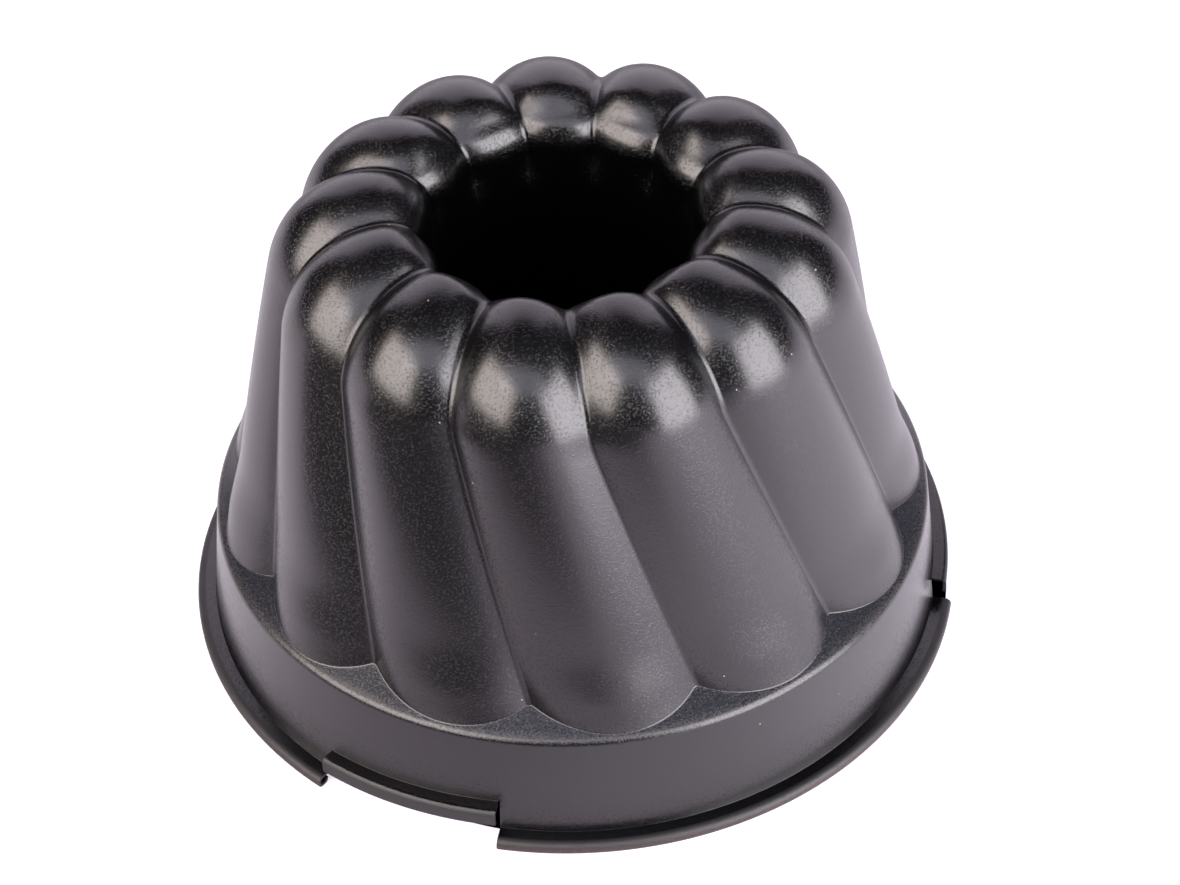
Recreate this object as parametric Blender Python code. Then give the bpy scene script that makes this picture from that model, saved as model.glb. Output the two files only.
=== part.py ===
# Kugelhopf mould standing on its rim, closed end up. Metres, +Z up, rim resting on z = 0.
# Two pieces: the deep-drawn fluted shell and the centre tube that is pushed over its collar.
# Azimuths are in degrees, 0 towards -Y and growing towards +X.

import math

import bpy
import numpy as np

MM = 0.001

# Sheet and flutes
SHEET = 0.6
FLUTES = 13
GROOVE_FILLET = 1.5
RISE_FOOT = 6.7
RISE_SETTLED = 0.25
RISE_WALL = 5.4
RISE_SHOULDER = 5.0
RISE_TOP = 3.6
RISE_EDGE = 1.0
RISE_EDGE_LEAN = 124.0
RISE_HOLE = 0.9
GROOVE_TOP_HEIGHT = 96.75
WALL_TAPER = 13.7
SHOULDER_RADIUS = 18.6
INNER_RADIUS = 10.0
HOLE_BEND_RADIUS = 7.0
HOLE_BEND_START = 115.0
FOOT_AZIMUTH = 19.9
TWIST_WALL = 15.4
TWIST_TOP = 4.8
TWIST_BOW = 0.14
TWIST_EASE = 1.2

# Collar round the hole and the tube joined to it
CLEARANCE = 0.3
COLLAR_FADE = 9.0
SOCKET_LENGTH = 5.0
SOCKET_MARGIN = 1.0
JOGGLE_HEIGHT = 1.5
TUBE_DRAFT = 3.5
TUBE_END_HEIGHT = 6.0
TUBE_CURL_HOLLOW = 0.5
TUBE_CURL_TURN = 225.0

# Ledge, skirt and rim
RIM_RADIUS = 80.0
FLANGE_LAND = 1.1
BEAD_HOLLOW = 0.8
BEAD_FACET_ANGLE = 25.0
CORNER_FILLET = 0.5
SKIRT_DRAFT = 7.1
EDGE_HEIGHT = 23.5
EDGE_RADIUS = 1.9
LEDGE_SLOPE = 26.0
LEDGE_LAND = 0.4

# Raised segments of the rim
SEGMENT_STARTS = (-40.0, 77.5, 200.0)
SEGMENT_SPAN = 28.0
SEGMENT_HEIGHT = 7.7
SEGMENT_RAMP = 1.7
LIP_DEPTH = 3.4
LIP_INSET = 1.5
LIP_ROUNDING = 1.2
SLOT_WIDTH = 0.3

# Facets
LOBE_STEPS = 8
WALL_STEPS = 5
SHOULDER_STEPS = 5
BEND_STEPS = 3
EDGE_STEPS = 2
FADE_STEPS = 3
SEGMENT_STEPS = 5
GAP_STEPS = 14
TUBE_STEPS = 40
CURL_STEPS = 6
SHARP_ANGLE = 50.0

BEAD_RADIUS = SHEET + BEAD_HOLLOW
HALF_PITCH = math.pi / FLUTES
TAPER = math.radians(WALL_TAPER)
DRAFT = math.radians(SKIRT_DRAFT)
SLOPE = math.radians(LEDGE_SLOPE)
BEAD_HEIGHT = BEAD_RADIUS * math.cos(math.radians(BEAD_FACET_ANGLE))
FLANGE_HEIGHT = BEAD_HEIGHT + BEAD_RADIUS
SKIRT_FOOT_RADIUS = RIM_RADIUS - 2 * BEAD_RADIUS - FLANGE_LAND


def skirt_radius(height):
    return SKIRT_FOOT_RADIUS - (height - FLANGE_HEIGHT) * math.tan(DRAFT)


EDGE_CENTRE = skirt_radius(EDGE_HEIGHT) - EDGE_RADIUS / math.cos(DRAFT)
LEDGE_END_RADIUS = EDGE_CENTRE + EDGE_RADIUS * math.sin(SLOPE)
LEDGE_END_HEIGHT = EDGE_HEIGHT + EDGE_RADIUS * math.cos(SLOPE)
SPREAD = math.tan(SLOPE) * math.tan(TAPER)
GROOVE_FOOT_RADIUS = (
    (LEDGE_END_RADIUS - LEDGE_LAND) * (1 - SPREAD) - RISE_FOOT
) / (math.cos(HALF_PITCH) - SPREAD)


def ledge_height(radius):
    return LEDGE_END_HEIGHT + (LEDGE_END_RADIUS - radius) * math.tan(SLOPE)


GROOVE_FOOT_HEIGHT = ledge_height(GROOVE_FOOT_RADIUS)
SHOULDER_HEIGHT = GROOVE_TOP_HEIGHT - SHOULDER_RADIUS
SHOULDER_CENTRE = (
    GROOVE_FOOT_RADIUS
    - (SHOULDER_HEIGHT - GROOVE_FOOT_HEIGHT) * math.tan(TAPER)
    - SHOULDER_RADIUS / math.cos(TAPER)
)
BEND_START = math.radians(HOLE_BEND_START)


def arc_chain():
    """(first outward direction, centre radius, centre height, radius) of the top's three arcs."""
    chain = [(TAPER, SHOULDER_CENTRE, SHOULDER_HEIGHT, SHOULDER_RADIUS)]
    for start, radius in ((math.pi / 2, INNER_RADIUS), (BEND_START, HOLE_BEND_RADIUS)):
        _, middle, height, before = chain[-1]
        middle += (before - radius) * math.cos(start)
        height += (before - radius) * math.sin(start)
        chain.append((start, middle, height, radius))
    return chain


ARCS = arc_chain()
HOLE_RADIUS = ARCS[2][1] - HOLE_BEND_RADIUS
COLLAR_RADIUS = HOLE_RADIUS * math.cos(HALF_PITCH) - RISE_HOLE
HOLE_HEIGHT = ARCS[2][2]
FADE_END = HOLE_HEIGHT - COLLAR_FADE
COLLAR_END = FADE_END - SOCKET_MARGIN - SOCKET_LENGTH


def at(azimuth, radius, height, sideways=0.0):
    """Point at an azimuth in radians, moved sideways along the tangent there."""
    return (
        radius * math.sin(azimuth) + sideways * math.cos(azimuth),
        -radius * math.cos(azimuth) + sideways * math.sin(azimuth),
        height,
    )


def flute_section(groove_radius, rise, lean):
    """(sideways, outward) points from one groove up to the next: fillet, round lobe, fillet."""
    mirror = (math.cos(lean) * math.tan(HALF_PITCH), 1.0)
    length = math.hypot(*mirror)
    fx = groove_radius * math.sin(HALF_PITCH) + GROOVE_FILLET * mirror[0] / length
    fy = GROOVE_FILLET * mirror[1] / length
    lobe = (fx**2 + (fy - rise) ** 2 - GROOVE_FILLET**2) / (2 * (GROOVE_FILLET - fy + rise))
    centre = rise - lobe
    reach = math.atan2(fx, fy - centre)
    angles = np.linspace(-reach, reach, LOBE_STEPS + 1)
    lobes = [(lobe * math.sin(a), centre + lobe * math.cos(a)) for a in angles]
    return [(-groove_radius * math.sin(HALF_PITCH), 0.0)] + lobes


def flute_row(groove_radius, height, azimuth, rise, lean):
    """One closed row of points round all flutes, as (azimuth, radius, height, sideways)."""
    chord = groove_radius * math.cos(HALF_PITCH)
    section = flute_section(groove_radius, rise, lean)
    return [
        (
            azimuth + (2 * flute + 1) * HALF_PITCH,
            chord + out * math.cos(lean),
            height + out * math.sin(lean),
            side,
        )
        for flute in range(FLUTES)
        for side, out in section
    ]


def foot_row():
    """The lowest flute row, carried down the taper until it lies on the sloping ledge."""
    row = []
    start = flute_row(
        GROOVE_FOOT_RADIUS, GROOVE_FOOT_HEIGHT, math.radians(FOOT_AZIMUTH), RISE_FOOT, 0.0
    )
    wall = SHOULDER_HEIGHT - GROOVE_FOOT_HEIGHT
    for azimuth, radius, _, side in start:
        before = math.hypot(radius, side)
        after = (before - GROOVE_FOOT_RADIUS * SPREAD) / (1 - SPREAD)
        drop = GROOVE_FOOT_HEIGHT - ledge_height(after)
        turn = math.radians(TWIST_WALL) * drop / wall
        scale = after / before
        row.append(at(azimuth + turn, radius * scale, ledge_height(after), side * scale))
    return row


def wall_row(part):
    """Row at a fraction of the straight wall between the ledge and the shoulder."""
    height = GROOVE_FOOT_HEIGHT + part * (
        SHOULDER_HEIGHT + SHOULDER_RADIUS * math.sin(TAPER) - GROOVE_FOOT_HEIGHT
    )
    radius = GROOVE_FOOT_RADIUS - (height - GROOVE_FOOT_HEIGHT) * math.tan(TAPER)
    turn = FOOT_AZIMUTH - TWIST_WALL + TWIST_WALL * (1 - part) * (1 + TWIST_BOW * part)
    rise = np.interp(part, (0.0, RISE_SETTLED), (RISE_FOOT, RISE_WALL))
    return [
        at(*point)
        for point in flute_row(radius, height, math.radians(turn), rise, TAPER * part)
    ]


def top_row(lean, drop=0.0):
    """Row on the rounded top where its outward direction leans this far, from straight out."""
    past = (lean - TAPER) / (math.pi - TAPER)
    turn = FOOT_AZIMUTH - TWIST_WALL - TWIST_TOP * (1 - (1 - past) ** TWIST_EASE)
    rise = np.interp(
        lean,
        (TAPER, math.pi / 4, math.pi / 2, math.radians(RISE_EDGE_LEAN), math.pi),
        (RISE_WALL, RISE_SHOULDER, RISE_TOP, RISE_EDGE, RISE_HOLE),
    )
    _, middle, height, radius = [a for a in ARCS if lean >= a[0]][-1]
    return [
        at(*point)
        for point in flute_row(
            middle + radius * math.cos(lean),
            height + radius * math.sin(lean) - drop,
            math.radians(turn),
            rise,
            lean,
        )
    ]


def fade_row(part):
    """Row below the hole's edge, where the flutes fade into the round collar."""
    share = part * part * (3 - 2 * part)
    row = []
    for x, y, z in top_row(math.pi, part * COLLAR_FADE):
        scale = 1 + share * (COLLAR_RADIUS / math.hypot(x, y) - 1)
        row.append((x * scale, y * scale, z))
    return row


def collar_row(height):
    return [(x, y, height) for x, y, _ in fade_row(1.0)]


def flute_grid():
    """All rows of the fluted part from the ledge up and over into the collar, and the same inside."""
    rows = [foot_row()]
    rows += [wall_row(part) for part in np.linspace(0, 1, WALL_STEPS + 1)[1:]]
    rows += [top_row(lean) for lean in np.linspace(TAPER, BEND_START, SHOULDER_STEPS + 1)[1:]]
    rows += [top_row(lean) for lean in np.linspace(BEND_START, math.pi, BEND_STEPS + 1)[1:]]
    rows += [fade_row(part) for part in np.linspace(0, 1, FADE_STEPS + 1)[1:]]
    rows.append(collar_row(COLLAR_END))
    outside = np.array(rows)
    around = np.roll(outside, -1, axis=1) - np.roll(outside, 1, axis=1)
    facing = np.cross(around, np.gradient(outside, axis=0))
    facing /= np.linalg.norm(facing, axis=2, keepdims=True)
    inside = outside - SHEET * facing
    settle(inside)
    return outside, inside


def settle(inside):
    """Slides the lowest inside row along the wall until it lies on the underside of the ledge."""
    foot = inside[0]
    along = inside[1] - foot
    radius = np.hypot(foot[:, 0], foot[:, 1])
    outward = (foot[:, 0] * along[:, 0] + foot[:, 1] * along[:, 1]) / radius
    under = ledge_height(radius) - SHEET / math.cos(SLOPE)
    share = (under - foot[:, 2]) / (along[:, 2] + outward * math.tan(SLOPE))
    foot += along * share[:, None]


def inner_line(profile, lead):
    """A (radius, height) profile moved inwards by the sheet, lead being a point ahead of it."""
    ahead = np.diff(np.array([lead] + profile), axis=0)
    ahead /= np.hypot(ahead[:, 0], ahead[:, 1])[:, None]
    normals = np.stack([-ahead[:, 1], ahead[:, 0]], axis=1)
    following = np.vstack([normals[1:], normals[-1:]])
    both = normals + following
    mitre = 2 * both / (both**2).sum(axis=1, keepdims=True)
    return [tuple(p) for p in np.array(profile) - SHEET * mitre]


def arc(centre, radius, start, end, steps):
    """(radius, height) points on an arc, its angles in degrees from straight out."""
    return [
        (centre[0] + radius * math.cos(a), centre[1] + radius * math.sin(a))
        for a in np.radians(np.linspace(start, end, steps + 1))
    ]


def corner(height):
    """Fillet from the skirt out to a flange whose top is at this height."""
    centre_height = height + CORNER_FILLET
    centre = (skirt_radius(centre_height) + CORNER_FILLET / math.cos(DRAFT), centre_height)
    return arc(centre, CORNER_FILLET, 180 + SKIRT_DRAFT, 270, 2)


def low_profile():
    """Fillet, flange and the bead rolled under it, with a flat facet to stand on."""
    bead = (RIM_RADIUS - BEAD_RADIUS, BEAD_HEIGHT)
    low = BEAD_FACET_ANGLE - 90
    return (
        corner(FLANGE_HEIGHT)
        + arc(bead, BEAD_RADIUS, 90, low, 4)
        + arc(bead, BEAD_RADIUS, -180 - low, -180, 2)
    )


def raised_profile(height):
    """Fillet, flange and the plain lip of a raised segment."""
    lip = RIM_RADIUS - LIP_INSET
    centre = (lip - LIP_ROUNDING, height - LIP_ROUNDING)
    return corner(height) + arc(centre, LIP_ROUNDING, 90, 0, 2) + [(lip, height - LIP_DEPTH)]


def rim_profile(flange, raised):
    """The whole skirt and rim below the ledge, whose flange is at this height where it is raised."""
    edge = arc((EDGE_CENTRE, EDGE_HEIGHT), EDGE_RADIUS, 90 - LEDGE_SLOPE, SKIRT_DRAFT, EDGE_STEPS)
    lower = raised_profile(flange) if raised else [corner(flange)[0]] + low_profile()
    return edge + lower


def rim_columns():
    """(azimuth in radians, flange height, raised or not) of every column round the rim."""
    slot = math.degrees(SLOT_WIDTH / RIM_RADIUS)
    columns = []
    for first, after in zip(SEGMENT_STARTS, SEGMENT_STARTS[1:] + (SEGMENT_STARTS[0] + 360.0,)):
        start = first + slot / 2
        low_span = after - first - SEGMENT_SPAN - slot
        for part in np.linspace(0, 1, SEGMENT_STEPS + 1):
            turn = start + part * (SEGMENT_SPAN - slot)
            columns.append((math.radians(turn), SEGMENT_HEIGHT + part * SEGMENT_RAMP, True))
        for part in np.linspace(0, 1, GAP_STEPS + 1):
            turn = start + SEGMENT_SPAN + part * low_span
            flange = SEGMENT_HEIGHT + (1 - part) * SEGMENT_RAMP
            columns.append((math.radians(turn), flange, False))
    return columns


class Sheet:
    """Collects matching points on both faces of a sheet and joins them into one closed body."""

    def __init__(self):
        self.outside = []
        self.inside = []
        self.faces = []

    def row(self, outside, inside):
        first = len(self.outside)
        self.outside.extend(outside)
        self.inside.extend(inside)
        return list(range(first, len(self.outside)))

    def band(self, lower, upper, closed=True):
        for j in range(len(lower) - (0 if closed else 1)):
            k = (j + 1) % len(lower)
            self.faces.append((lower[j], lower[k], upper[k], upper[j]))

    def fill(self, outer, inner):
        """Triangles between two closed rows whose points don't pair up."""
        lines = []
        for row in (outer, inner):
            angle = [math.atan2(self.outside[i][0], -self.outside[i][1]) for i in row]
            start = int(np.argmin(angle))
            order = [(start + n) % len(row) for n in range(len(row))]
            lines.append([(angle[n], row[n]) for n in order])
            lines[-1].append((angle[start] + 2 * math.pi, row[start]))
        out, ins = lines
        i = j = 0
        while i < len(out) - 1 or j < len(ins) - 1:
            if j == len(ins) - 1 or (i < len(out) - 1 and out[i + 1][0] < ins[j + 1][0]):
                self.faces.append((out[i][1], out[i + 1][1], ins[j][1]))
                i += 1
            else:
                self.faces.append((out[i][1], ins[j + 1][1], ins[j][1]))
                j += 1

    def build(self, name, material):
        count = len(self.outside)
        edges = {(f[i - 1], f[i]) for f in self.faces for i in range(len(f))}
        faces = self.faces + [tuple(i + count for i in reversed(f)) for f in self.faces]
        faces += [(b, a, a + count, b + count) for a, b in sorted(edges) if (b, a) not in edges]
        points = [tuple(c * MM for c in p) for p in self.outside + self.inside]
        mesh = bpy.data.meshes.new(name)
        mesh.from_pydata(points, [], faces)
        mesh.materials.append(material)
        mesh.shade_smooth()
        mesh.set_sharp_from_angle(angle=math.radians(SHARP_ANGLE))
        node = bpy.data.objects.new(name, mesh)
        bpy.context.scene.collection.objects.link(node)
        return node


def coating(name, colour, roughness):
    material = bpy.data.materials.new(name)
    material.use_nodes = True
    shader = material.node_tree.nodes["Principled BSDF"]
    shader.inputs["Base Color"].default_value = (*colour, 1)
    shader.inputs["Roughness"].default_value = roughness
    return material


def fluted_shell():
    sheet = Sheet()
    rows = [sheet.row(list(map(tuple, o)), list(map(tuple, i))) for o, i in zip(*flute_grid())]
    for lower, upper in zip(rows, rows[1:]):
        sheet.band(lower, upper)

    columns = rim_columns()
    lines = [rim_profile(flange, raised) for _, flange, raised in columns]
    uphill = (LEDGE_END_RADIUS - 1, ledge_height(LEDGE_END_RADIUS - 1))
    inner_lines = [inner_line(line, uphill) for line in lines]

    def level_row(level, first=0, last=None):
        sides = []
        for group in (lines, inner_lines):
            strip = zip(columns[first:last], group[first:last])
            sides.append([at(column[0], *line[level]) for column, line in strip])
        return sheet.row(*sides)

    upper = level_row(0)
    sheet.fill(upper, rows[0])
    for level in range(1, EDGE_STEPS + 2):
        lower = level_row(level)
        sheet.band(lower, upper)
        upper = lower
    junction = upper
    first = 0
    while first < len(columns):
        last = first + (SEGMENT_STEPS if columns[first][2] else GAP_STEPS) + 1
        upper = junction[first:last]
        for level in range(EDGE_STEPS + 2, len(lines[first])):
            lower = level_row(level, first, last)
            sheet.band(lower, upper, closed=False)
            upper = lower
        first = last
    return sheet.build("fluted_shell", coating("shell_coating", (0.035, 0.033, 0.037), 0.42))


def centre_tube():
    neck = COLLAR_RADIUS + SHEET
    socket = neck + CLEARANCE + SHEET
    curl = SHEET + TUBE_CURL_HOLLOW
    curl_height = TUBE_END_HEIGHT + curl
    neck_top = COLLAR_END - CLEARANCE - JOGGLE_HEIGHT
    mouth = neck - (neck_top - curl_height) * math.tan(math.radians(TUBE_DRAFT))
    profile = [
        (socket, COLLAR_END + SOCKET_LENGTH),
        (socket, COLLAR_END - CLEARANCE),
        (neck, neck_top),
    ]
    profile += arc((mouth - curl, curl_height), curl, 0, -TUBE_CURL_TURN, CURL_STEPS)
    inner = inner_line(profile, (socket, COLLAR_END + SOCKET_LENGTH + 1))
    sheet = Sheet()
    turns = np.linspace(0, 2 * math.pi, TUBE_STEPS, endpoint=False)
    rows = [
        sheet.row([at(turn, *out) for turn in turns], [at(turn, *ins) for turn in turns])
        for out, ins in zip(profile, inner)
    ]
    for upper, lower in zip(rows, rows[1:]):
        sheet.band(lower, upper)
    return sheet.build("centre_tube", coating("tube_coating", (0.030, 0.029, 0.032), 0.45))


for old in list(bpy.data.objects):
    bpy.data.objects.remove(old)
fluted_shell()
centre_tube()
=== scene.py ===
import math

import bpy
import numpy as np
from mathutils import Matrix


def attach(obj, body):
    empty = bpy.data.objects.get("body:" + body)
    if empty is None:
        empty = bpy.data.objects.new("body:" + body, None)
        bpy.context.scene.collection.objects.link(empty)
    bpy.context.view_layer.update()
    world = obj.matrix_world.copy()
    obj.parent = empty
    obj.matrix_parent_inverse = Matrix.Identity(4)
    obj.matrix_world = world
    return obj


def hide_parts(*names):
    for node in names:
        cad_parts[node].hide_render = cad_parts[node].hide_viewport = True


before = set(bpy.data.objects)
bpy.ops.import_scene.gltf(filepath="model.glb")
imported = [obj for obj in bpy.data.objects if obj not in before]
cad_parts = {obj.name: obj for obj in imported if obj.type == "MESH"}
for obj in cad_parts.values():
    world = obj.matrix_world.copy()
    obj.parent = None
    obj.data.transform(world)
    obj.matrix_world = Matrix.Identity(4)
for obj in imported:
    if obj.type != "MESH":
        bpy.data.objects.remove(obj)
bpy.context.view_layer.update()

print("frame loaded:", ", ".join(sorted(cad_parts)))

toMetres = 0.001


def linear(code):  # sRGB hex to the linear values that the shader takes
    channels = [int(code[i : i + 2], 16) / 255 for i in (1, 3, 5)]
    return tuple(c / 12.92 if c <= 0.04045 else ((c + 0.055) / 1.055) ** 2.4 for c in channels) + (1.0,)


def addNode(tree, kind, settings=None, values=None, links=None):
    node = tree.nodes.new(kind)
    for name, value in (settings or {}).items():
        setattr(node, name, value)
    for name, value in (values or {}).items():
        node.inputs[name].default_value = value
    for name, (source, output) in (links or {}).items():
        tree.links.new(source.outputs[output], node.inputs[name])
    return node


def smooth(part):  # 0 to 1 with soft ends
    return part * part * (3 - 2 * part)


# Sizes are in millimetres and degrees. Azimuth 0 is towards -Y and grows towards +X.
# The lean is how far a row of points looks up: 0 at the foot of the wall, 90 on the top, 180 in the hole.
# A rise is the height of the lobes over the grooves between them.
shell = {
    "sheet": 0.6,
    "fluteCount": 13,
    "grooveFillet": 1.5,
    "riseAtFoot": 6.7,
    "riseOnWall": 5.4,
    "riseOnShoulder": 5.0,
    "riseOnTop": 3.6,
    "riseAtBend": 1.0,
    "riseInHole": 0.9,
    "riseSettled": 0.25,  # share of the wall by which the foot's extra rise is gone
    "sunkLean": 124.0,  # the lean at which the lobes have sunk to the rise at the bend
    "grooveTop": 96.2,
    "wallTaper": 13.7,
    "shoulderRadius": 18.6,
    "innerRadius": 10.0,
    "holeBendRadius": 7.0,
    "holeBendStart": 115.0,
    "footAzimuth": 19.9,
    "wallTwist": 15.4,
    "topTwist": 4.8,
    "twistBow": 0.14,  # how much the grooves bow on their way up the wall
    "twistEase": 1.2,  # over 1, more of the twist over the top comes early
    "collarFade": 9.0,  # how far below the hole's edge the flutes are gone
    "collarEnd": 74.48,
    "footFillet": 0.2,
    "footFilletLimit": 0.75,  # share of the ledge's width that this fillet may take
    "footClearance": 1.5,  # rows nearer to the foot than this many fillets are left out
    "evenShare": 0.6,  # how evenly the points along the skirt's edge are spread
    "rimRadius": 79.88,
    "beadRadius": 1.4,
    "beadHeight": 1.269,
    "flangeLand": 1.1,
    "cornerFillet": 0.06,
    "skirtDraft": 7.1,
    "edgeHeight": 23.5,
    "edgeRadius": 1.9,
    "ledgeSlope": 26.0,
    "ledgeLand": 0.4,
    "joinHeight": 13.0,  # the rim's columns end here,
    "joinGap": 1.0,  # and the flutes' columns start this far above
    "segmentStarts": (-40.0, 77.5, 200.0),
    "segmentSpan": 28.0,
    "segmentHeight": 7.7,
    "segmentRamp": 1.7,
    "lipDepth": 3.4,
    "lipInset": 1.43,
    "lipRounding": 1.2,
    "slot": 0.3,
    "lobeSteps": 24,
    "filletSteps": 4,
    "edgeSteps": 6,
    "ledgeSteps": 4,
    "footSteps": 5,
    "wallSteps": 22,
    "shoulderSteps": 26,
    "bendSteps": 10,
    "fadeSteps": 8,
    "cornerSteps": 5,
    "beadSteps": 22,
    "lipSteps": 6,
    "segmentSteps": 20,
    "gapSteps": 60,
    "mergeWithin": 0.01,  # points of two neighbouring flutes that are this near become one
    "sharpAngle": 40.0,  # a sharper edge isn't shaded smooth
}

halfPitch = math.pi / shell["fluteCount"]
taper = math.radians(shell["wallTaper"])
bendStart = math.radians(shell["holeBendStart"])
draft = math.radians(shell["skirtDraft"])
slope = math.radians(shell["ledgeSlope"])
flutesEndHeight = shell["joinHeight"] + shell["joinGap"]
flangeHeight = shell["beadHeight"] + shell["beadRadius"]
skirtFoot = shell["rimRadius"] - 2 * shell["beadRadius"] - shell["flangeLand"]


def skirtRadius(height):
    return skirtFoot - (height - flangeHeight) * math.tan(draft)


edgeCentre = skirtRadius(shell["edgeHeight"]) - shell["edgeRadius"] / math.cos(draft)
ledgeEndRadius = edgeCentre + shell["edgeRadius"] * math.sin(slope)
ledgeEndHeight = shell["edgeHeight"] + shell["edgeRadius"] * math.cos(slope)
spread = math.tan(slope) * math.tan(taper)
grooveFootRadius = (
    (ledgeEndRadius - shell["ledgeLand"]) * (1 - spread) - shell["riseAtFoot"]
) / (math.cos(halfPitch) - spread)


def ledgeHeight(radius):
    return ledgeEndHeight + (ledgeEndRadius - radius) * math.tan(slope)


grooveFootHeight = ledgeHeight(grooveFootRadius)
shoulderHeight = shell["grooveTop"] - shell["shoulderRadius"]
shoulderCentre = (
    grooveFootRadius
    - (shoulderHeight - grooveFootHeight) * math.tan(taper)
    - shell["shoulderRadius"] / math.cos(taper)
)


def topArcs():  # (first lean, centre's radius, centre's height, arc's radius), each tangent to the last
    arcs = [(taper, shoulderCentre, shoulderHeight, shell["shoulderRadius"])]
    for start, radius in (
        (math.pi / 2, shell["innerRadius"]),
        (bendStart, shell["holeBendRadius"]),
    ):
        _, middle, height, before = arcs[-1]
        middle += (before - radius) * math.cos(start)
        height += (before - radius) * math.sin(start)
        arcs.append((start, middle, height, radius))
    return arcs


arcs = topArcs()
holeRadius = arcs[2][1] - shell["holeBendRadius"]
collarRadius = holeRadius * math.cos(halfPitch) - shell["riseInHole"]


def arc(centre, radius, start, end, steps):
    return [
        (centre[0] + radius * math.cos(a), centre[1] + radius * math.sin(a))
        for a in np.radians(np.linspace(start, end, steps + 1))
    ]


def section(grooveRadius, rise, lean):  # one flute across: half a groove fillet, the lobe, half a fillet
    mirror = np.array([math.cos(lean) * math.tan(halfPitch), 1.0])  # the plane where two flutes meet
    mirror /= np.linalg.norm(mirror)
    bottom = np.array([grooveRadius * math.sin(halfPitch), 0.0])
    fillet = shell["grooveFillet"]
    middle = bottom + fillet * mirror
    lobe = (middle[0] ** 2 + (middle[1] - rise) ** 2 - fillet**2) / (
        2 * (fillet - middle[1] + rise)
    )
    centre = rise - lobe
    reach = math.atan2(middle[0], middle[1] - centre)
    start = math.atan2(-math.cos(reach), -math.sin(reach))
    end = math.atan2(-mirror[1], -mirror[0])
    turns = np.linspace(start, end, shell["filletSteps"] + 1)[1:]
    right = [(middle[0] + fillet * math.cos(t), middle[1] + fillet * math.sin(t)) for t in turns]
    lobes = [
        (lobe * math.sin(a), centre + lobe * math.cos(a))
        for a in np.linspace(-reach, reach, shell["lobeSteps"] + 1)
    ]
    return np.array([(-x, y) for x, y in reversed(right)] + lobes + right)


def fluteRow(grooveRadius, height, azimuth, rise, lean):
    points = section(grooveRadius, rise, lean)
    outward = grooveRadius * math.cos(halfPitch) + points[:, 1] * math.cos(lean)
    turn = azimuth + halfPitch
    return np.stack(
        [
            outward * math.sin(turn) + points[:, 0] * math.cos(turn),
            -outward * math.cos(turn) + points[:, 0] * math.sin(turn),
            height + points[:, 1] * math.sin(lean),
        ],
        axis=1,
    )


def turned(points, angles):
    c, s = np.cos(angles), np.sin(angles)
    x, y, z = points.T
    return np.stack([x * c - y * s, x * s + y * c, z], axis=1)


def footRow():  # carried down the taper until it lies on the sloping ledge
    azimuth = math.radians(shell["footAzimuth"])
    start = fluteRow(grooveFootRadius, grooveFootHeight, azimuth, shell["riseAtFoot"], 0.0)
    before = np.hypot(start[:, 0], start[:, 1])
    after = (before - grooveFootRadius * spread) / (1 - spread)
    height = ledgeHeight(after)
    turn = math.radians(shell["wallTwist"]) * (grooveFootHeight - height)
    row = start * (after / before)[:, None]
    row[:, 2] = height
    return turned(row, turn / (shoulderHeight - grooveFootHeight))


def wallRow(part):
    top = shoulderHeight + shell["shoulderRadius"] * math.sin(taper)
    height = grooveFootHeight + part * (top - grooveFootHeight)
    radius = grooveFootRadius - (height - grooveFootHeight) * math.tan(taper)
    turn = shell["footAzimuth"] - shell["wallTwist"]
    turn += shell["wallTwist"] * (1 - part) * (1 + shell["twistBow"] * part)
    settled = smooth(min(part / shell["riseSettled"], 1.0))
    rise = shell["riseAtFoot"] + settled * (shell["riseOnWall"] - shell["riseAtFoot"])
    return fluteRow(radius, height, math.radians(turn), rise, taper * part)


def riseCurve(lean):  # a smooth curve through the five rises, so that no band shows across the top
    leans = np.array([taper, math.pi / 4, math.pi / 2, math.radians(shell["sunkLean"]), math.pi])
    names = ("riseOnWall", "riseOnShoulder", "riseOnTop", "riseAtBend", "riseInHole")
    rises = np.array([shell[name] for name in names])
    steps = np.diff(rises) / np.diff(leans)
    slopes = np.zeros(len(names))
    slopes[1:-1] = 2 * steps[:-1] * steps[1:] / (steps[:-1] + steps[1:])
    k = min(int(np.searchsorted(leans, lean, side="right")), len(names) - 1) - 1
    width = leans[k + 1] - leans[k]
    t = (lean - leans[k]) / width
    return (
        rises[k] * (1 + 2 * t) * (1 - t) ** 2
        + rises[k + 1] * t * t * (3 - 2 * t)
        + width * t * (1 - t) * (slopes[k] * (1 - t) - slopes[k + 1] * t)
    )


def topRow(lean, drop=0.0):
    past = (lean - taper) / (math.pi - taper)
    turn = shell["footAzimuth"] - shell["wallTwist"]
    turn -= shell["topTwist"] * (1 - (1 - past) ** shell["twistEase"])
    _, middle, height, radius = [a for a in arcs if lean >= a[0] - 1e-9][-1]
    return fluteRow(
        middle + radius * math.cos(lean),
        height + radius * math.sin(lean) - drop,
        math.radians(turn),
        riseCurve(lean),
        lean,
    )


def fadeRow(part):  # below the hole's edge the flutes fade into the round collar
    row = topRow(math.pi, part * shell["collarFade"])
    scale = 1 + smooth(part) * (collarRadius / np.hypot(row[:, 0], row[:, 1]) - 1)
    row[:, :2] *= scale[:, None]
    return row


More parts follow.
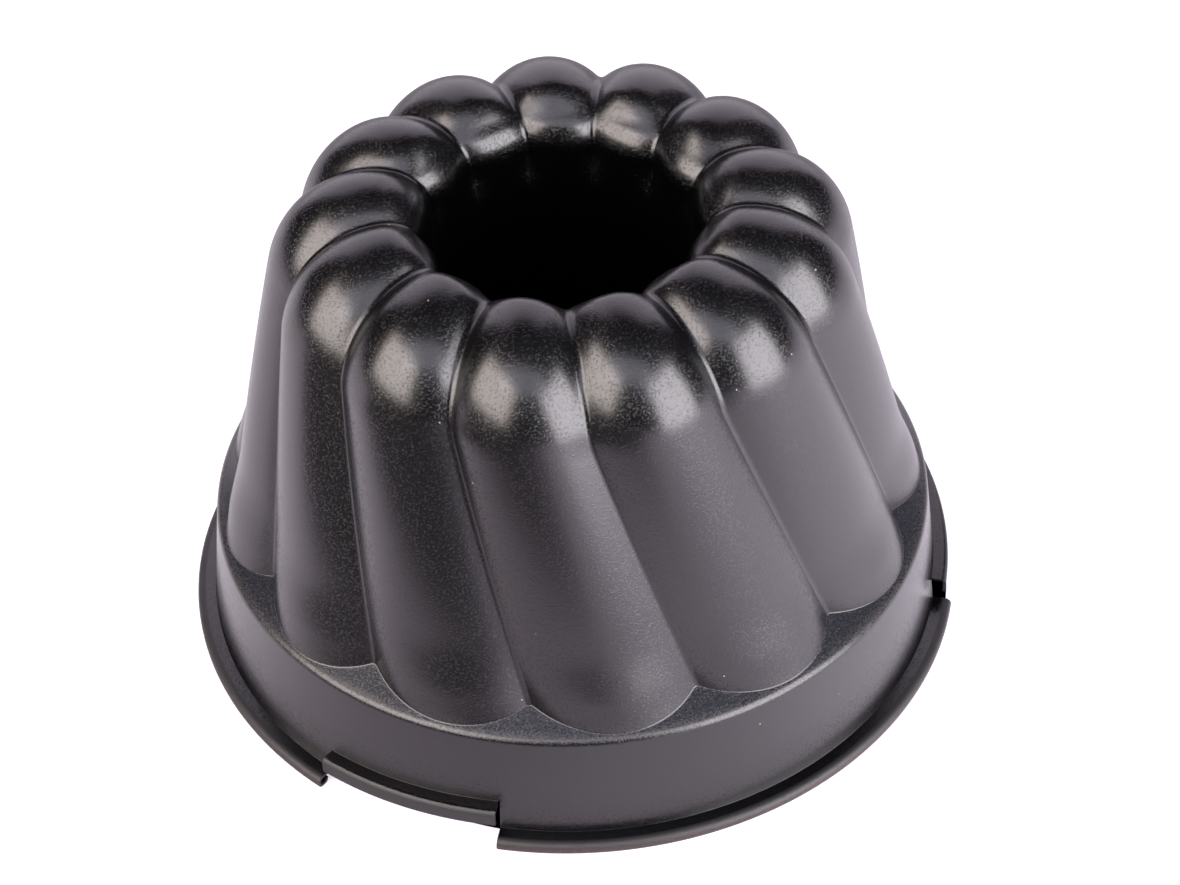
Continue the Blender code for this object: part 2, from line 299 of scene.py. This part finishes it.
def downhill(foot):  # the way the ledge falls away from the foot, square to the foot's line
    along = np.gradient(foot, axis=0)
    outward = np.stack([-along[:, 1], along[:, 0]], axis=1)
    outward *= np.sign((outward * foot[:, :2]).sum(axis=1))[:, None]
    outward /= np.linalg.norm(outward, axis=1)[:, None]
    radial = foot[:, :2] / np.hypot(foot[:, 0], foot[:, 1])[:, None]
    fall = -(outward * radial).sum(axis=1) * math.tan(slope)
    outward = np.column_stack([outward, fall])
    outward[[0, -1], :2] = radial[[0, -1]]  # the two neighbours meet here
    outward[[0, -1], 2] = -math.tan(slope)
    return outward


def skirtRows(foot):  # the upper skirt and its rounded edge, each point facing one of the foot's
    azimuth = np.unwrap(np.arctan2(foot[:, 0], -foot[:, 1]))
    even = np.linspace(azimuth[0], azimuth[-1], len(azimuth))
    around = shell["evenShare"] * even + (1 - shell["evenShare"]) * azimuth
    centre = (edgeCentre, shell["edgeHeight"])
    first, last = 90 - shell["ledgeSlope"], shell["skirtDraft"]
    profile = arc(centre, shell["edgeRadius"], first, last, shell["edgeSteps"])
    profile.append((skirtRadius(flutesEndHeight), flutesEndHeight))
    return [
        np.stack([radius * np.sin(around), -radius * np.cos(around), np.full(len(around), height)], axis=1)
        for radius, height in reversed(profile)
    ]


def fluteUnitRows():  # from the skirt up over the ledge and one flute, down into the collar
    foot = footRow()
    wall = [wallRow(part) for part in np.linspace(0, 1, shell["wallSteps"] + 1)]
    upward = wall[2] - foot  # the third row is clear of the foot
    upward /= np.linalg.norm(upward, axis=1)[:, None]
    fillet = shell["footFillet"]
    land = ledgeEndRadius - np.hypot(foot[:, 0], foot[:, 1])
    toe = foot + downhill(foot) * np.minimum(fillet, shell["footFilletLimit"] * land)[:, None]
    heel = foot + upward * fillet
    rows = skirtRows(foot)
    edge = rows[-1]
    for part in np.linspace(0, 1, shell["ledgeSteps"] + 1)[1:-1]:
        mixed = edge + (toe - edge) * part
        mixed[:, 2] = ledgeHeight(np.hypot(mixed[:, 0], mixed[:, 1]))
        rows.append(mixed)
    toe[:, 2] = ledgeHeight(np.hypot(toe[:, 0], toe[:, 1]))
    for s in np.linspace(0, 1, shell["footSteps"] + 1):
        rows.append(toe * (1 - s) ** 2 + foot * (2 * s * (1 - s)) + heel * s * s)
    for row in wall[1:]:
        if ((row - foot) * upward).sum(axis=1).min() > fillet * shell["footClearance"]:
            rows.append(row)
    rows += [topRow(lean) for lean in np.linspace(taper, bendStart, shell["shoulderSteps"] + 1)[1:]]
    rows += [topRow(lean) for lean in np.linspace(bendStart, math.pi, shell["bendSteps"] + 1)[1:]]
    rows += [fadeRow(part) for part in np.linspace(0, 1, shell["fadeSteps"] + 1)[1:]]
    collar = fadeRow(1.0)
    collar[:, 2] = shell["collarEnd"]
    rows.append(collar)
    return rows


def gridMesh(name, rows):
    across = len(rows[0])
    faces = [
        (r * across + c, r * across + c + 1, (r + 1) * across + c + 1, (r + 1) * across + c)
        for r in range(len(rows) - 1)
        for c in range(across - 1)
    ]
    mesh = bpy.data.meshes.new(name)
    mesh.from_pydata([tuple(p * toMetres) for row in rows for p in row], [], faces)
    return mesh


def corner(height):  # fillet from the skirt out to a flange whose top is at this height
    fillet = shell["cornerFillet"]
    centre = (skirtRadius(height + fillet) + fillet / math.cos(draft), height + fillet)
    return arc(centre, fillet, 180 + shell["skirtDraft"], 270, shell["cornerSteps"])


def lowProfile():  # fillet, flange and the bead rolled under it, flattened where it stands
    bead = (shell["rimRadius"] - shell["beadRadius"], shell["beadHeight"])
    rolled = arc(bead, shell["beadRadius"], 90, -180, shell["beadSteps"])
    return corner(flangeHeight) + [(radius, max(height, 0.0)) for radius, height in rolled]


def raisedProfile(height):  # fillet, flange and the lip of a raised segment, which hangs straight down
    lip = shell["rimRadius"] - shell["lipInset"]
    centre = (lip - shell["lipRounding"], height - shell["lipRounding"])
    rounding = arc(centre, shell["lipRounding"], 90, 0, shell["lipSteps"])
    return corner(height) + rounding + [(lip, height - shell["lipDepth"] * part) for part in (0.6, 0.8, 1.0)]


def ringPoint(azimuth, radius, height):
    return np.array([radius * math.sin(azimuth), -radius * math.cos(azimuth), height])


def rimColumns():  # (azimuth, flange height, raised or not) of every column round the rim
    slot = math.degrees(shell["slot"] / shell["rimRadius"])
    starts = shell["segmentStarts"]
    columns = []
    for first, after in zip(starts, starts[1:] + (starts[0] + 360.0,)):
        start = first + slot / 2
        lowSpan = after - first - shell["segmentSpan"] - slot
        for part in np.linspace(0, 1, shell["segmentSteps"] + 1):
            turn = start + part * (shell["segmentSpan"] - slot)
            columns.append((math.radians(turn), shell["segmentHeight"] + part * shell["segmentRamp"], True))
        for part in np.linspace(0, 1, shell["gapSteps"] + 1):
            turn = start + shell["segmentSpan"] + part * lowSpan
            flange = shell["segmentHeight"] + (1 - part) * shell["segmentRamp"]
            columns.append((math.radians(turn), flange, False))
    return columns


def rimGrid():  # the skirt's foot all round, with the raised segments and the low beads between them
    columns = rimColumns()
    points, faces = [], []

    def addRow(line):
        first = len(points)
        points.extend(line)
        return list(range(first, len(points)))

    def band(lower, upper):
        for a, b, c, d in zip(lower, lower[1:], upper[1:], upper):
            faces.append((a, b, c, d))

    join = shell["joinHeight"]
    top = addRow([ringPoint(a, skirtRadius(join), join) for a, _, _ in columns])
    junction = addRow([ringPoint(a, *corner(h)[0]) for a, h, _ in columns])
    band(junction + junction[:1], top + top[:1])
    first = 0
    for steps in (shell["segmentSteps"] + 1, shell["gapSteps"] + 1) * len(shell["segmentStarts"]):
        part = columns[first : first + steps]
        upper = junction[first : first + steps]
        raised = part[0][2]
        lines = [raisedProfile(h) if raised else lowProfile() for _, h, _ in part]
        for level in range(1 if raised else 0, len(lines[0])):  # a raised line starts on the junction itself
            lower = addRow([ringPoint(c[0], *line[level]) for c, line in zip(part, lines)])
            band(lower, upper)
            upper = lower
        first += steps
    return np.array(points) * toMetres, faces


def repeatTree():
    tree = bpy.data.node_groups.new("repeatRound", "GeometryNodeTree")
    face = tree.interface
    face.new_socket("Geometry", in_out="INPUT", socket_type="NodeSocketGeometry")
    count = face.new_socket("Count", in_out="INPUT", socket_type="NodeSocketInt")
    join = face.new_socket("Join Distance", in_out="INPUT", socket_type="NodeSocketFloat")
    finish = face.new_socket("Finish", in_out="INPUT", socket_type="NodeSocketMaterial")
    face.new_socket("Geometry", in_out="OUTPUT", socket_type="NodeSocketGeometry")
    unit = addNode(tree, "NodeGroupInput")
    points = addNode(tree, "GeometryNodePoints", links={"Count": (unit, "Count")})
    index = addNode(tree, "GeometryNodeInputIndex")
    pitch = addNode(
        tree, "ShaderNodeMath", {"operation": "DIVIDE"}, {0: 2 * math.pi}, {1: (unit, "Count")}
    )
    turn = addNode(
        tree, "ShaderNodeMath", {"operation": "MULTIPLY"}, links={0: (index, 0), 1: (pitch, 0)}
    )
    euler = addNode(tree, "ShaderNodeCombineXYZ", links={"Z": (turn, 0)})
    spin = addNode(tree, "FunctionNodeEulerToRotation", links={0: (euler, 0)})
    copies = addNode(
        tree,
        "GeometryNodeInstanceOnPoints",
        links={"Points": (points, 0), "Instance": (unit, "Geometry"), "Rotation": (spin, 0)},
    )
    real = addNode(tree, "GeometryNodeRealizeInstances", links={0: (copies, 0)})
    joined = addNode(
        tree,
        "GeometryNodeMergeByDistance",
        links={"Geometry": (real, 0), "Distance": (unit, "Join Distance")},
    )
    dressed = addNode(
        tree, "GeometryNodeSetMaterial", links={"Geometry": (joined, 0), "Material": (unit, "Finish")}
    )
    addNode(tree, "NodeGroupOutput", links={0: (dressed, 0)})
    return tree, {"count": count.identifier, "join": join.identifier, "finish": finish.identifier}


def repeated(mesh, count, finish):  # the unit mesh copied round the axis and merged, as plain arrays
    obj = bpy.data.objects.new(mesh.name, mesh)
    bpy.context.scene.collection.objects.link(obj)
    modifier = obj.modifiers.new("repeat", "NODES")
    tree, sockets = repeatTree()
    modifier.node_group = tree
    modifier[sockets["count"]] = count
    modifier[sockets["join"]] = shell["mergeWithin"] * toMetres
    modifier[sockets["finish"]] = finish
    graph = bpy.context.evaluated_depsgraph_get()
    whole = bpy.data.meshes.new_from_object(obj.evaluated_get(graph))
    points = np.array([v.co[:] for v in whole.vertices])
    faces = [tuple(f.vertices) for f in whole.polygons]
    obj.modifiers.remove(modifier)
    bpy.data.objects.remove(obj)
    bpy.data.meshes.remove(whole)
    return points, faces


def ringAt(points, height):  # the points of one level ring in order of azimuth
    ring = np.where(np.abs(points[:, 2] - height * toMetres) < 1e-7)[0]
    azimuth = np.arctan2(points[ring, 0], -points[ring, 1])
    order = np.argsort(azimuth)
    return ring[order], azimuth[order]


def zipRings(low, high):  # triangles between two closed rings whose points don't pair up
    lines = []
    for ring, azimuth in (low, high):
        lines.append((list(ring) + [ring[0]], list(azimuth) + [azimuth[0] + 2 * math.pi]))
    (a, turnA), (b, turnB) = lines
    i = j = 0
    faces = []
    while i < len(a) - 1 or j < len(b) - 1:
        if j == len(b) - 1 or (i < len(a) - 1 and turnA[i + 1] < turnB[j + 1]):
            faces.append((a[i], a[i + 1], b[j]))
            i += 1
        else:
            faces.append((a[i], b[j + 1], b[j]))
            j += 1
    return faces


def thickened(points, faces, thickness):  # a closed body from the outer face of a sheet
    mesh = bpy.data.meshes.new("outer")
    mesh.from_pydata([tuple(p) for p in points], [], faces)
    normals = np.array([n.vector[:] for n in mesh.vertex_normals])
    bpy.data.meshes.remove(mesh)
    count = len(points)
    both = np.vstack([points, points - normals * thickness])
    edges = {(f[i - 1], f[i]) for f in faces for i in range(len(f))}
    walls = [(b, a, a + count, b + count) for a, b in sorted(edges) if (b, a) not in edges]
    inner = [tuple(i + count for i in reversed(f)) for f in faces]
    return both, list(faces) + inner + walls


def pieceFrom(name, points, faces, finish):
    mesh = bpy.data.meshes.new(name)
    mesh.from_pydata([tuple(p) for p in points], [], faces)
    mesh.materials.append(finish)
    mesh.validate()
    mesh.shade_smooth()
    mesh.set_sharp_from_angle(angle=math.radians(shell["sharpAngle"]))
    obj = bpy.data.objects.new(name, mesh)
    bpy.context.scene.collection.objects.link(obj)
    return obj


def makeShell(finish):
    upper, upperFaces = repeated(gridMesh("fluteUnit", fluteUnitRows()), shell["fluteCount"], finish)
    print("flutes repeated:", len(upper), "points")
    lower, lowerFaces = rimGrid()
    print("rim laid out:", len(lower), "points")
    upperRing, upperTurns = ringAt(upper, flutesEndHeight)
    lowerRing = ringAt(lower, shell["joinHeight"])
    points = np.vstack([lower, upper])
    shift = len(lower)
    faces = lowerFaces + [tuple(i + shift for i in f) for f in upperFaces]
    faces += zipRings(lowerRing, (upperRing + shift, upperTurns))
    points, faces = thickened(points, faces, shell["sheet"] * toMetres)
    return pieceFrom("flutedShell", points, faces, finish)


tube = {
    "sheet": 0.6,
    "neckGap": 0.3,  # between the collar and the socket round it
    "socketLength": 5.0,
    "joggle": 1.5,
    "joggleLap": 0.4,  # the joggle starts this far above the collar's end
    "draft": 3.5,
    "endHeight": 6.0,
    "curlHollow": 0.5,
    "curlTurn": 225.0,
    "joggleSteps": 8,
    "neckSteps": 11,
    "curlSteps": 18,
    "around": 128,
}


def makeTube(finish):
    neck = collarRadius + tube["sheet"]
    socket = neck + tube["neckGap"] + tube["sheet"]
    top = shell["collarEnd"] + tube["socketLength"]
    seat = shell["collarEnd"] - tube["neckGap"]
    curl = tube["sheet"] + tube["curlHollow"]
    curlHeight = tube["endHeight"] + curl
    neckTop = seat - tube["joggle"]
    mouth = neck - (neckTop - curlHeight) * math.tan(math.radians(tube["draft"]))
    profile = [(socket, top - part * tube["socketLength"]) for part in (0.0, 0.5)]
    for part in np.linspace(0, 1, tube["joggleSteps"] + 1):  # it eases from the socket into the neck
        drop = part * (tube["joggle"] + tube["joggleLap"])
        profile.append((socket + (neck - socket) * smooth(part), seat + tube["joggleLap"] - drop))
    for part in np.linspace(0, 1, tube["neckSteps"] + 1)[1:-1]:
        profile.append((neck + (mouth - neck) * part, neckTop + (curlHeight - neckTop) * part))
    profile += arc((mouth - curl, curlHeight), curl, 0, -tube["curlTurn"], tube["curlSteps"])
    size = tube["around"]
    around = np.linspace(0, 2 * math.pi, size, endpoint=False)
    points = [ringPoint(turn, radius, height) * toMetres for radius, height in profile for turn in around]
    faces = []
    for level in range(len(profile) - 1):
        lower, upper = (level + 1) * size, level * size
        for c in range(size):
            d = (c + 1) % size
            faces.append((lower + c, lower + d, upper + d, upper + c))
    points, faces = thickened(np.array(points), faces, tube["sheet"] * toMetres)
    return pieceFrom("centreTube", points, faces, finish)


# Deep-drawn steel with a baked non-stick coating. The eye gets a near-black satin skin with soft, wide highlights,
# a fine grain, a paler ledge, a rubbed rim and painted shade on the throat and the flange.
# The patterns' sizes are in millimetres.
coating = {
    "colour": "#070608",
    "patchColour": "#0c0b0d",
    "patchSize": 25.0,
    "dustColour": "#b9b3ab",
    "dustSpacing": 6.0,
    "dustSize": 0.25,
    "paleLedgeColour": "#34353d",
    "rubbedColour": "#4a3022",
    "edgeColour": "#35322f",
    # painted shade: the black painted on the throat and on the flange's level top
    "paintedShadeColour": "#020202",
    "scuffSize": 0.4,
    "roughness": 0.25,
    "wornRoughness": 0.55,
    "throatRoughness": 0.20,
    "flangeRoughness": 0.22,
    "specular": 0.85,
    "sheenTint": "#fdf9ff",
    "grainSize": 0.42,  # drawn coarser than the real grain, which would be too fine to show
    "grainHeight": 0.02,
}

# Painted shade: on the tube the same coating lies in the dark of the hole, so its colour is painted blacker and
# its highlights are left out.
shadedCoating = {**coating, "colour": "#020202", "patchColour": "#030303", "specular": 0.0}

# Where each finish lies. A mask is the product of its eased steps, and a step says what is measured, the value
# where it is 0 and the value where it is 1. Radius and height are in metres, and level is 1 on a level face.
places = {
    # painted shade: the throat below the hole's edge and the flange's level top are painted the blackest
    "throat": (("radius", 0.0318, 0.0305), ("height", 0.0956, 0.0932)),
    "flange": (("radius", 0.0754, 0.0758), ("radius", 0.0786, 0.0779), ("level", 0.9, 0.97)),
    # the ledge's level faces are paler, with gaps in it
    "paleLedge": (
        ("height", 0.0300, 0.0280),
        ("height", 0.0235, 0.0248),
        ("level", 0.5, 0.85),
        ("scuff", 0.2, 0.75),
    ),
    # the bead and the lips are matt, the bead's outer side is rubbed brown and the ledge's edge pale
    "rim": (("radius", 0.0776, 0.0781),),
    "bead": (("radius", 0.0786, 0.0796), ("height", 0.0024, 0.0014), ("scuff", 0.38, 0.72)),
    "edge": (("radius", 0.0708, 0.0726), ("height", 0.0242, 0.0250), ("scuff", 0.38, 0.72)),
    "bumps": (("grain", 0.52, 0.70),),
}


def coatedSteel(name, values):
    finish = bpy.data.materials.new(name)
    finish.use_nodes = True
    tree = finish.node_tree
    tree.nodes.clear()
    place = addNode(tree, "ShaderNodeTexCoord")
    apart = addNode(tree, "ShaderNodeSeparateXYZ", links={0: (place, "Object")})
    flat = addNode(tree, "ShaderNodeCombineXYZ", links={"X": (apart, "X"), "Y": (apart, "Y")})
    radius = addNode(tree, "ShaderNodeVectorMath", {"operation": "LENGTH"}, links={0: (flat, 0)})
    facing = addNode(tree, "ShaderNodeSeparateXYZ", links={0: (place, "Normal")})
    measured = {"radius": (radius, "Value"), "height": (apart, "Z"), "level": (facing, "Z")}
    for pattern, detail, coarseness in (("patch", 4.0, 0.5), ("scuff", 5.0, 0.7), ("grain", 3.0, 0.6)):
        noise = addNode(
            tree,
            "ShaderNodeTexNoise",
            values={"Scale": 1000 / values[pattern + "Size"], "Detail": detail, "Roughness": coarseness},
            links={"Vector": (place, "Object")},
        )
        measured[pattern] = (noise, "Fac")

    masks = {}
    for mask, steps in places.items():
        for source, start, end in steps:
            step = addNode(
                tree,
                "ShaderNodeMapRange",
                {"interpolation_type": "SMOOTHSTEP"},
                {"From Min": start, "From Max": end},
                {"Value": measured[source]},
            )
            if mask in masks:
                step = addNode(
                    tree, "ShaderNodeMath", {"operation": "MULTIPLY"}, links={0: masks[mask], 1: (step, 0)}
                )
            masks[mask] = (step, 0)
    for mask, first, *others in (("paintedShade", "throat", "flange"), ("matt", "bead", "edge", "rim")):
        masks[mask] = masks[first]
        for other in others:
            larger = addNode(
                tree, "ShaderNodeMath", {"operation": "MAXIMUM"}, links={0: masks[mask], 1: masks[other]}
            )
            masks[mask] = (larger, 0)
    cells = addNode(
        tree,
        "ShaderNodeTexVoronoi",
        values={"Scale": 1000 / values["dustSpacing"], "Randomness": 1.0},
        links={"Vector": (place, "Object")},
    )
    speck = addNode(
        tree,
        "ShaderNodeMath",
        {"operation": "LESS_THAN"},
        {1: values["dustSize"] / values["dustSpacing"] / 2},
        {0: (cells, "Distance")},
    )
    masks["dust"] = (speck, 0)

    colour = addNode(
        tree,
        "ShaderNodeMix",
        {"data_type": "RGBA"},
        {6: linear(values["colour"]), 7: linear(values["patchColour"])},
        {0: measured["patch"]},
    )
    for layer, mask in (
        ("dustColour", "dust"),
        ("paleLedgeColour", "paleLedge"),
        ("rubbedColour", "bead"),
        ("edgeColour", "edge"),
        # painted shade on the throat and the flange
        ("paintedShadeColour", "paintedShade"),
    ):
        colour = addNode(
            tree,
            "ShaderNodeMix",
            {"data_type": "RGBA"},
            {7: linear(values[layer])},
            {0: masks[mask], 6: (colour, 2)},
        )
    rough = addNode(
        tree,
        "ShaderNodeMapRange",
        values={"To Min": values["roughness"], "To Max": values["wornRoughness"]},
        links={"Value": masks["matt"]},
    )
    for mask in ("throat", "flange"):
        rough = addNode(
            tree,
            "ShaderNodeMapRange",
            values={"To Max": values[mask + "Roughness"]},
            links={"Value": masks[mask], "To Min": (rough, 0)},
        )
    bump = addNode(
        tree,
        "ShaderNodeBump",
        values={"Strength": 1.0, "Distance": values["grainHeight"] * toMetres},
        links={"Height": masks["bumps"]},
    )
    shader = addNode(
        tree,
        "ShaderNodeBsdfPrincipled",
        values={
            "Specular IOR Level": values["specular"],
            "Specular Tint": linear(values["sheenTint"]),
        },
        links={"Base Color": (colour, 2), "Normal": (bump, 0), "Roughness": (rough, 0)},
    )
    addNode(tree, "ShaderNodeOutputMaterial", links={"Surface": (shader, 0)})
    return finish


shellFinish = coatedSteel("nonStickCoatedSteel", coating)
shellPiece = makeShell(shellFinish)
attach(shellPiece, "root")
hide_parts("fluted_shell")
print("shell made:", len(shellPiece.data.polygons), "faces")

tubeFinish = coatedSteel("shadedNonStickCoatedSteel", shadedCoating)
tubePiece = makeTube(tubeFinish)
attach(tubePiece, "root")
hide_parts("centre_tube")
print("tube made:", len(tubePiece.data.polygons), "faces")

# From here on lengths are in metres.
studio = {
    "floorSize": 3.0,
    "floorColour": "#c6c0ca",
    "glowColour": "#f5eefa",
    "floorGlow": 0.75,
    "backdropGlow": 1.0,
    "backdropRadius": 1.3,
    "backdropSpan": 84.0,
    "backdropHeight": 2.3,
    "backdropPanels": 32,
    # painted shadow: inside this circle round the object's foot the paper is painted black and gives no light
    "paintedShadowRadius": 0.0743,  # the paper inside this circle is in the object's own dark
    "paintedShadowCentre": (0.0042, -0.0010, 0.0),
    "worldColour": "#a58fd0",
    "worldStrength": 0.02,
    "lampAim": (0.0, 0.0, 0.05),
}

# What the paper's light loses in reflections, as eased steps: what is measured, the value where the loss starts,
# the value where it is full and the share that is then lost. A number that is measured is an azimuth, and its
# value is 1 straight towards it from the object. A loss below 0 is a gain.
floorLosses = {
    "front": (-12.0, 0.35, 0.92, 0.88),
    "far": ("distance", 0.16, 0.25, 0.93),  # to this side the lit paper ends and a dark room begins
    "side": (-35.0, 0.57, 0.82, 1.0),
    "back": (180.0, 0.6, 0.95, 0.6),
    "high": ("height", 1.3, 2.3, 1.0),
    "bright": (50.0, 0.3, 0.95, -0.60),  # the right softbox stands over this side
}
backdropLosses = {**floorLosses, "back": (180.0, 0.6, 0.95, 0.0)}


def whitePaper(name, glow, losses):  # white to the camera, and as dark in reflections as the losses say
    paint = bpy.data.materials.new(name)
    paint.use_nodes = True
    tree = paint.node_tree
    tree.nodes.clear()
    rays = addNode(tree, "ShaderNodeLightPath")
    place = addNode(tree, "ShaderNodeTexCoord")
    apart = addNode(tree, "ShaderNodeSeparateXYZ", links={0: (place, "Object")})
    away = addNode(tree, "ShaderNodeVectorMath", {"operation": "LENGTH"}, links={0: (place, "Object")})
    straight = addNode(
        tree, "ShaderNodeVectorMath", {"operation": "NORMALIZE"}, links={0: (place, "Object")}
    )
    under = addNode(
        tree,
        "ShaderNodeVectorMath",
        {"operation": "DISTANCE"},
        {1: studio["paintedShadowCentre"]},
        {0: (place, "Object")},
    )
    found = {
        "camera": (rays, "Is Camera Ray"),
        "glossy": (rays, "Is Glossy Ray"),
        "through": (rays, "Is Transmission Ray"),
        "height": (apart, "Z"),
        "distance": (away, "Value"),
        "fromUnder": (under, "Value"),
    }
    for loss, (source, start, full, share) in losses.items():
        if source not in found:
            turn = math.radians(source)
            towards = addNode(
                tree,
                "ShaderNodeVectorMath",
                {"operation": "DOT_PRODUCT"},
                {1: (math.sin(turn), -math.cos(turn), 0.0)},
                {0: (straight, 0)},
            )
            found[source] = (towards, "Value")
        step = addNode(
            tree,
            "ShaderNodeMapRange",
            {"interpolation_type": "SMOOTHSTEP"},
            {"From Min": start, "From Max": full, "To Max": share},
            {"Value": found[source]},
        )
        found[loss] = (step, 0)
    for result, operation, *terms in (
        ("seen", "MAXIMUM", "camera", "glossy"),
        ("seen", "MAXIMUM", "seen", "through"),
        # painted shadow: inside the circle under the object the paper is black
        ("outside", "GREATER_THAN", "fromUnder", studio["paintedShadowRadius"]),
        ("shown", "MULTIPLY", "seen", "outside"),
        ("room", "MULTIPLY", "far", "side"),
        ("unlit", "MAXIMUM", "room", "back"),
        ("lost", "MAXIMUM", "front", "unlit"),
        ("lost", "MAXIMUM", "lost", "high"),
        ("lost", "ADD", "lost", "bright"),
        ("lost", "MULTIPLY", "lost", "glossy"),
        ("kept", "SUBTRACT", 1.0, "lost"),
        ("full", "MULTIPLY", "shown", glow),
        ("power", "MULTIPLY", "full", "kept"),
        ("unlit", "MULTIPLY", "unlit", "glossy"),
        ("lit", "SUBTRACT", "outside", "unlit"),
    ):
        numbers = {i: term for i, term in enumerate(terms) if isinstance(term, float)}
        links = {i: found[term] for i, term in enumerate(terms) if isinstance(term, str)}
        found[result] = (addNode(tree, "ShaderNodeMath", {"operation": operation}, numbers, links), 0)
    colour = addNode(
        tree,
        "ShaderNodeMix",
        {"data_type": "RGBA"},
        {6: (0.0, 0.0, 0.0, 1.0), 7: linear(studio["floorColour"])},
        {0: found["lit"]},
    )
    matt = addNode(tree, "ShaderNodeBsdfDiffuse", links={"Color": (colour, 2)})
    light = addNode(
        tree,
        "ShaderNodeEmission",
        values={"Color": linear(studio["glowColour"])},
        links={"Strength": found["power"]},
    )
    both = addNode(tree, "ShaderNodeAddShader", links={0: (matt, 0), 1: (light, 0)})
    addNode(tree, "ShaderNodeOutputMaterial", links={"Surface": (both, 0)})
    return paint


def makeStage():  # a paper floor, and a low curved wall behind the object
    size = studio["floorSize"]
    floor = bpy.data.meshes.new("studioFloor")
    corners = [(-size, -size, 0), (size, -size, 0), (size, size, 0), (-size, size, 0)]
    floor.from_pydata(corners, [], [(0, 1, 2, 3)])
    wall = bpy.data.meshes.new("studioBackdrop")
    span = math.radians(studio["backdropSpan"])
    turns = np.linspace(math.pi - span / 2, math.pi + span / 2, studio["backdropPanels"] + 1)
    radius, height = studio["backdropRadius"], studio["backdropHeight"]
    foot = [(radius * math.sin(t), -radius * math.cos(t), 0.0) for t in turns]
    top = [(x, y, height) for x, y, _ in foot]
    count = len(foot)
    wall.from_pydata(foot + top, [], [(i, i + 1, i + 1 + count, i + count) for i in range(count - 1)])
    for mesh, glow, losses in (
        (floor, studio["floorGlow"], floorLosses),
        (wall, studio["backdropGlow"], backdropLosses),
    ):
        mesh.materials.append(whitePaper(mesh.name, glow, losses))
        obj = bpy.data.objects.new(mesh.name, mesh)
        bpy.context.scene.collection.objects.link(obj)


def makeWorld():  # white to the camera, and a faint violet light on the object
    world = bpy.data.worlds.new("studioWorld")
    bpy.context.scene.world = world
    world.use_nodes = True
    tree = world.node_tree
    tree.nodes.clear()
    rays = addNode(tree, "ShaderNodeLightPath")
    light = addNode(
        tree,
        "ShaderNodeBackground",
        values={"Color": linear(studio["worldColour"]), "Strength": studio["worldStrength"]},
    )
    white = addNode(tree, "ShaderNodeBackground", values={"Color": (1, 1, 1, 1), "Strength": 1.0})
    mix = addNode(
        tree, "ShaderNodeMixShader", links={0: (rays, "Is Camera Ray"), 1: (light, 0), 2: (white, 0)}
    )
    addNode(tree, "ShaderNodeOutputWorld", links={"Surface": (mix, 0)})


# Angles in degrees, lengths in metres, power in watts.
lamps = {
    "leftSoftbox": {
        "azimuth": -57,
        "elevation": 33,
        "distance": 1.0,
        "width": 1.06,
        "height": 0.70,
        "watts": 15.2,
        "colour": "#fff7ec",
    },
    "rightSoftbox": {
        "azimuth": 53,
        "elevation": 21,
        "distance": 1.0,
        "width": 0.92,
        "height": 0.86,
        "watts": 19.0,
        "colour": "#fffefe",
    },
    "ceilingBounce": {
        "azimuth": -8,
        "elevation": 56,
        "distance": 1.0,
        "width": 1.1,
        "height": 0.45,
        "watts": 3.0,
        "colour": "#f2f3ff",
    },
}


def addLamp(name, values):
    data = bpy.data.lights.new(name, "AREA")
    data.shape = "RECTANGLE"
    data.size = values["width"]
    data.size_y = values["height"]
    data.energy = values["watts"]
    data.color = linear(values["colour"])[:3]
    lamp = bpy.data.objects.new(name, data)
    turn = Matrix.Rotation(math.radians(values["azimuth"]), 4, "Z")
    away = turn @ Matrix.Rotation(math.pi / 2 - math.radians(values["elevation"]), 4, "X")
    back = Matrix.Translation((0, 0, values["distance"]))
    lamp.matrix_world = Matrix.Translation(studio["lampAim"]) @ away @ back
    bpy.context.scene.collection.objects.link(lamp)


cameraView = {
    "distance": 0.560847,
    "elevation": 42.637,
    "aim": (0.0039629, 0.0, 0.0340117),
    "roll": -1.8471,
    "lens": 83.62,
    "sensor": 36.0,
}


def makeCamera():
    data = bpy.data.cameras.new("photoCamera")
    data.sensor_width = cameraView["sensor"]
    data.lens = cameraView["lens"]
    data.clip_start = 0.01
    camera = bpy.data.objects.new("photoCamera", data)
    tilt = Matrix.Rotation(math.radians(90 - cameraView["elevation"]), 4, "X")
    back = Matrix.Translation((0, 0, cameraView["distance"]))
    roll = Matrix.Rotation(math.radians(cameraView["roll"]), 4, "Z")
    camera.matrix_world = Matrix.Translation(cameraView["aim"]) @ tilt @ back @ roll
    bpy.context.scene.collection.objects.link(camera)
    bpy.context.scene.camera = camera


makeStage()
makeWorld()
for name, values in lamps.items():
    addLamp(name, values)
makeCamera()
bpy.context.scene.view_settings.view_transform = "Standard"
print("studio ready")
